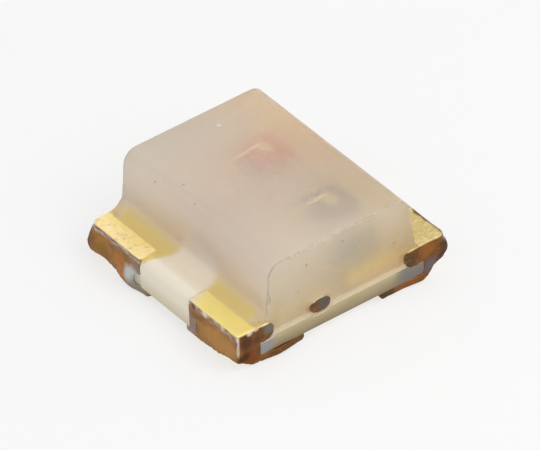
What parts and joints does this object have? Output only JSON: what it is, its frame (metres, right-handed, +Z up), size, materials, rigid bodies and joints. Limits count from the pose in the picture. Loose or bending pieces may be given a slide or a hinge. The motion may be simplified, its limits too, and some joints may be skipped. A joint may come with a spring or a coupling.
{
  "type": "smd led",
  "caption": "Chip LED: milky resin lens moulded on a thin white laminate, with gold corner terminals that wrap to solder pads, and dies with bond wires inside.",
  "frame": {"origin": "middle of the underside, on the plane of the solder pads", "axes": "+X along the length from the wire end to the die end, +Y towards the red die, +Z up out of the lens"},
  "size_m": [0.0016, 0.0016, 0.0007],
  "materials": {
    "white_laminate": "sawn glass-filled resin",
    "plated_copper": "gold plated on top, sawn brown on the cut faces",
    "silver_adhesive": "matt silver-filled",
    "red_crystal": "etched crystal",
    "grey_crystal": "etched crystal",
    "gold_contact": "bright gold",
    "gold_wire": "bright gold",
    "milky_resin": "diffused, matt moulded skin with sawn sides"
  },
  "bodies": {
    "root": {"substrate": "white_laminate", "red_cathode_terminal": "plated_copper", "green_cathode_terminal": "plated_copper", "red_anode_terminal": "plated_copper", "green_anode_terminal": "plated_copper", "red_die_attach": "silver_adhesive", "green_die_attach": "silver_adhesive", "red_die": "red_crystal", "green_die": "grey_crystal", "red_die_contact": "gold_contact", "green_die_contact": "gold_contact", "red_bond_wire": "gold_wire", "green_bond_wire": "gold_wire", "lens": "milky_resin"}
  },
  "joints": []
}
